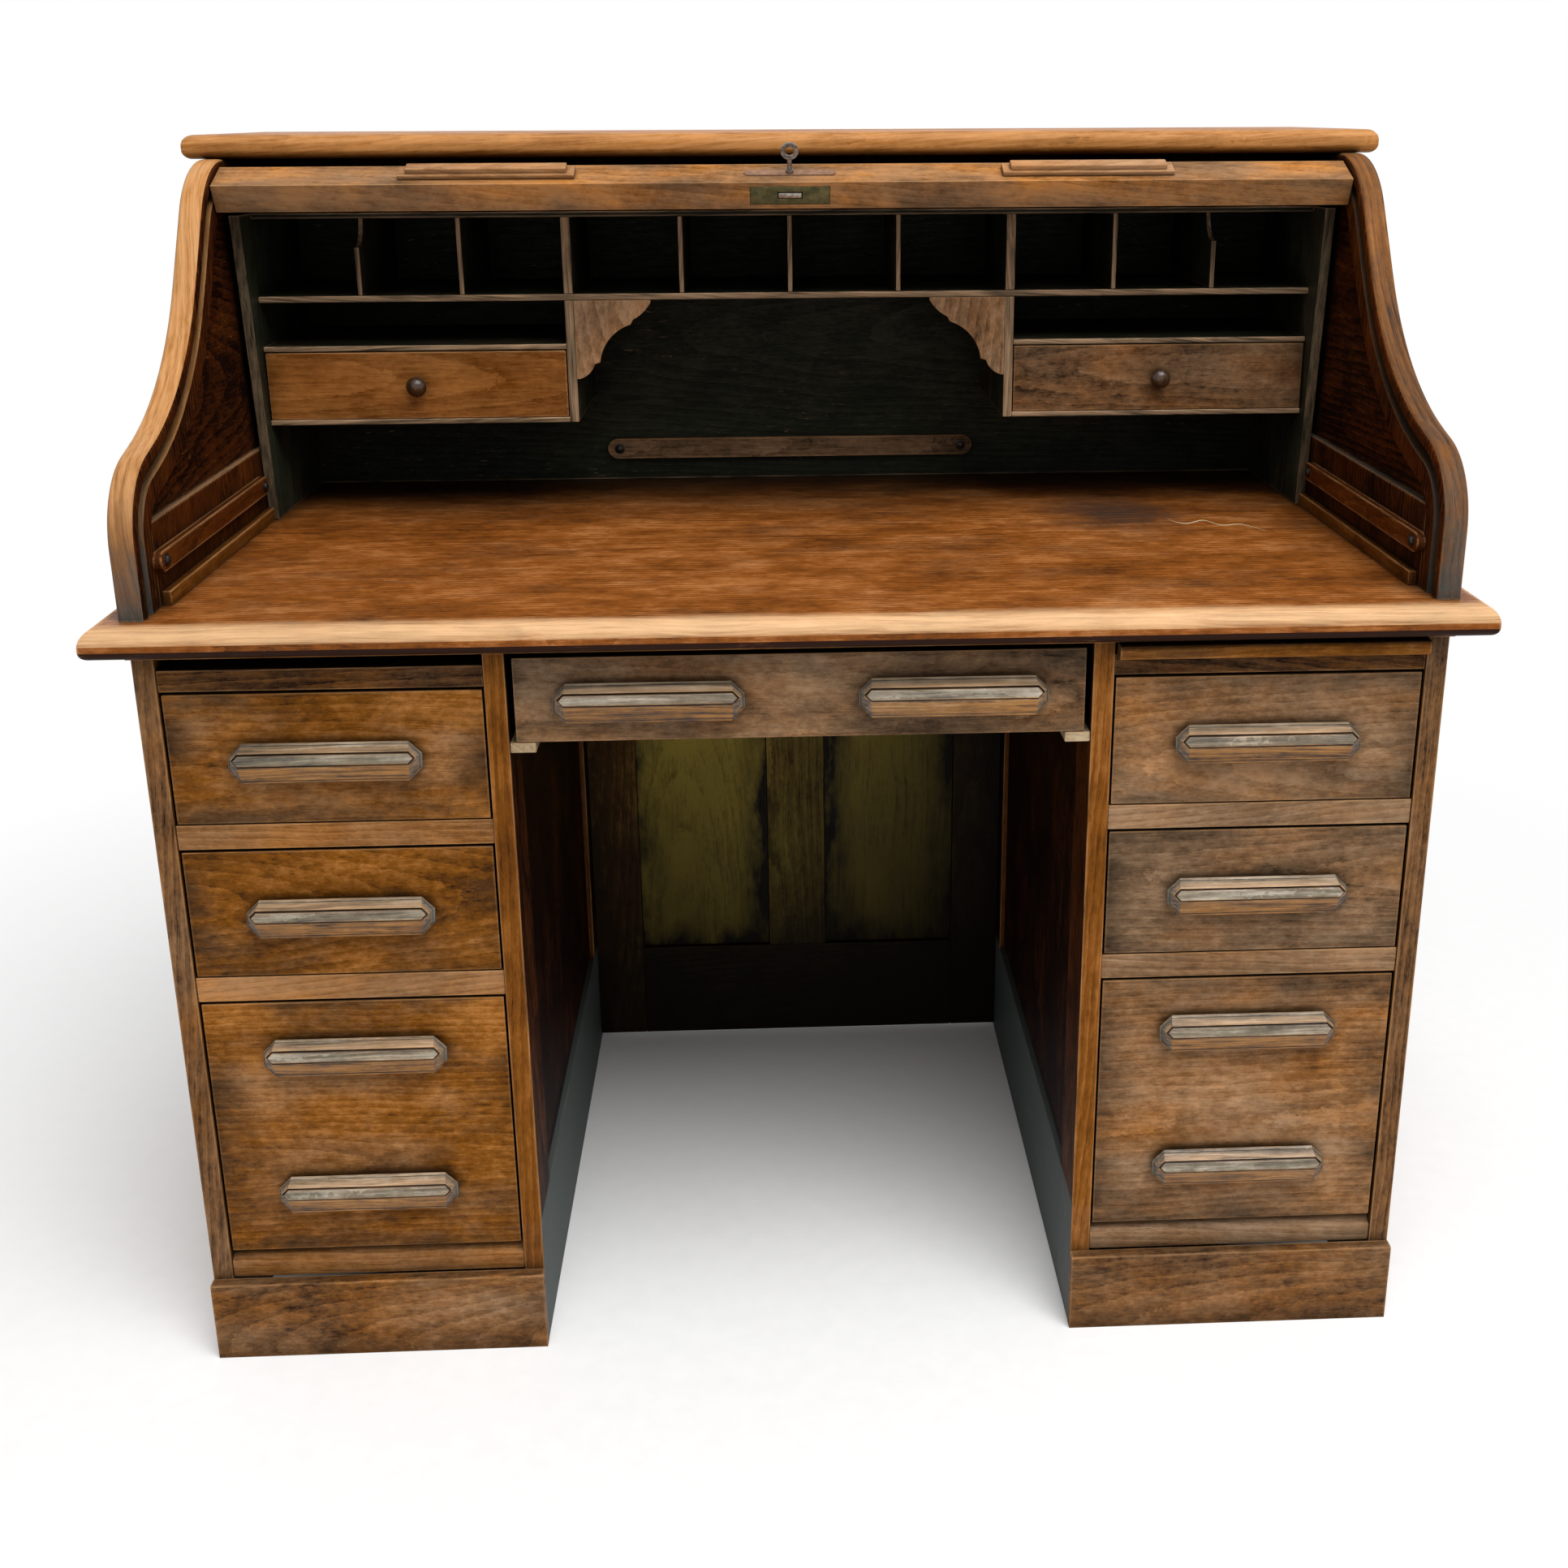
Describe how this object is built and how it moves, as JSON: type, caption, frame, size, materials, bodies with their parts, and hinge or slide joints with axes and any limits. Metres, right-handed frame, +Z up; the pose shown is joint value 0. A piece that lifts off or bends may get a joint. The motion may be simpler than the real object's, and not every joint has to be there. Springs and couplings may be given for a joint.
{
  "type": "roll-top desk",
  "caption": "Oak roll-top desk with twin drawer pedestals, S-shaped gables, a slatted tambour curtain stored open, a centre drawer, a writing slide and an inner pigeonhole unit.",
  "frame": {"origin": "on the floor, below the middle of the desk's outer box", "axes": "+X runs across the desk to the right as seen from the front, -Y is the front where the drawers open, +Z is up"},
  "size_m": [1.27, 0.684, 1.192],
  "materials": {
    "oak": "waxed",
    "pale_oak": "bare",
    "interior_oak": "waxed",
    "carved_pull": "satin",
    "turned_knob": "satin",
    "tambour_oak": "waxed",
    "lead_pull": "satin",
    "lock_brass": "aged",
    "bolt_steel": "worn",
    "dark_iron": "aged",
    "key_steel": "worn"
  },
  "bodies": {
    "carcass": {"writing_top": "oak", "subframe": "oak", "modesty_frame": "oak", "modesty_panels": "oak", "outer_side_frames": "oak", "outer_side_panels": "oak", "inner_side_frames": "oak", "inner_side_panels": "oak", "plinths": "oak", "drawer_rails": "oak", "pedestal_back_frames": "oak", "pedestal_back_panels": "oak", "top_board": "oak", "left_gable_frame": "oak", "right_gable_frame": "oak", "gable_panels": "oak", "upper_back_frame": "oak", "upper_back_panels": "oak", "drawer_and_slide_runners": "pale_oak", "centre_drawer_runners": "pale_oak", "back_bill_rail": "interior_oak", "gable_bill_rails": "interior_oak", "gable_slips": "interior_oak", "pigeonhole_ends": "interior_oak", "pigeonhole_top": "interior_oak", "pigeonhole_shelf": "interior_oak", "pigeonhole_main_dividers": "interior_oak", "pigeonhole_thin_dividers": "interior_oak", "pigeonhole_lower_boards": "interior_oak", "pigeonhole_brackets": "interior_oak", "interior_back": "interior_oak"},
    "left_drawer_1": {"left_drawer_1": "oak", "left_drawer_1_pull": "carved_pull"},
    "left_drawer_2": {"left_drawer_2": "oak", "left_drawer_2_pull": "carved_pull"},
    "left_drawer_3": {"left_drawer_3": "oak", "left_drawer_3_pull": "carved_pull"},
    "left_small_drawer": {"left_small_drawer": "interior_oak", "left_small_drawer_knob": "turned_knob"},
    "right_drawer_1": {"right_drawer_1": "oak", "right_drawer_1_pull": "carved_pull"},
    "right_drawer_2": {"right_drawer_2": "oak", "right_drawer_2_pull": "carved_pull"},
    "right_drawer_3": {"right_drawer_3": "oak", "right_drawer_3_pull": "carved_pull"},
    "right_small_drawer": {"right_small_drawer": "interior_oak", "right_small_drawer_knob": "turned_knob"},
    "centre_drawer": {"centre_drawer": "oak", "centre_drawer_pulls": "carved_pull"},
    "writing_slide": {"writing_slide": "oak"},
    "tambour_front": {"tambour_lead_rail": "tambour_oak", "tambour_pulls": "lead_pull", "tambour_lock_plate": "lock_brass", "tambour_escutcheon": "dark_iron", "tambour_first_slat": "tambour_oak"},
    "tambour_flat": {"tambour_flat_slats": "tambour_oak"},
    "tambour_corner": {"tambour_corner_slats": "tambour_oak"},
    "tambour_back": {"tambour_back_slats": "tambour_oak"},
    "tambour_key": {"tambour_key": "key_steel"},
    "tambour_bolt": {"tambour_lock_bolt": "bolt_steel"}
  },
  "joints": [
    {"name": "left_drawer_1_slide", "type": "slide", "parent": "carcass", "child": "left_drawer_1", "axis": [0, -1, 0], "range_m": [0, 0.38]},
    {"name": "left_drawer_2_slide", "type": "slide", "parent": "carcass", "child": "left_drawer_2", "axis": [0, -1, 0], "range_m": [0, 0.38]},
    {"name": "left_drawer_3_slide", "type": "slide", "parent": "carcass", "child": "left_drawer_3", "axis": [0, -1, 0], "range_m": [0, 0.38]},
    {"name": "left_small_drawer_slide", "type": "slide", "parent": "carcass", "child": "left_small_drawer", "axis": [0, -1, 0], "range_m": [0, 0.12]},
    {"name": "right_drawer_1_slide", "type": "slide", "parent": "carcass", "child": "right_drawer_1", "axis": [0, -1, 0], "range_m": [0, 0.38]},
    {"name": "right_drawer_2_slide", "type": "slide", "parent": "carcass", "child": "right_drawer_2", "axis": [0, -1, 0], "range_m": [0, 0.38]},
    {"name": "right_drawer_3_slide", "type": "slide", "parent": "carcass", "child": "right_drawer_3", "axis": [0, -1, 0], "range_m": [0, 0.38]},
    {"name": "right_small_drawer_slide", "type": "slide", "parent": "carcass", "child": "right_small_drawer", "axis": [0, -1, 0], "range_m": [0, 0.12]},
    {"name": "centre_drawer_slide", "type": "slide", "parent": "carcass", "child": "centre_drawer", "axis": [0, -1, 0], "range_m": [0, 0.33]},
    {"name": "writing_slide_pull", "type": "slide", "parent": "carcass", "child": "writing_slide", "axis": [0, -1, 0], "range_m": [0, 0.33]},
    {"name": "tambour_turn", "type": "hinge", "parent": "carcass", "child": "tambour_front", "pos_m": [0, 0.05945, 1.068], "axis": [1, 0, 0], "range_deg": [0, 20.96]},
    {"name": "tambour_flat_run", "type": "slide", "parent": "carcass", "child": "tambour_flat", "axis": [0, -1, 0], "range_m": [0, 0.03]},
    {"name": "tambour_corner_turn", "type": "hinge", "parent": "carcass", "child": "tambour_corner", "pos_m": [0, 0.239, 1.075], "axis": [1, 0, 0], "range_deg": [0, 22.92]},
    {"name": "tambour_back_run", "type": "slide", "parent": "carcass", "child": "tambour_back", "axis": [0, 0, 1], "range_m": [0, 0.03]},
    {"name": "key_turn", "type": "hinge", "parent": "tambour_front", "child": "tambour_key", "pos_m": [0, 0.0261, 1.14291], "axis": [0, -0.4067, 0.9135], "range_deg": [0, 90]},
    {"name": "bolt_throw", "type": "slide", "parent": "tambour_front", "child": "tambour_bolt", "axis": [0, -0.9135, -0.4067], "range_m": [0, 0.012]}
  ],
  "couplings": [
    {"joint": "tambour_flat_run", "follows": "tambour_turn", "m_per_rad": 0.082},
    {"joint": "tambour_corner_turn", "follows": "tambour_turn", "ratio": 1.0933},
    {"joint": "tambour_back_run", "follows": "tambour_turn", "m_per_rad": 0.082},
    {"joint": "key_turn", "follows": "bolt_throw", "rad_per_m": 130.89}
  ]
}
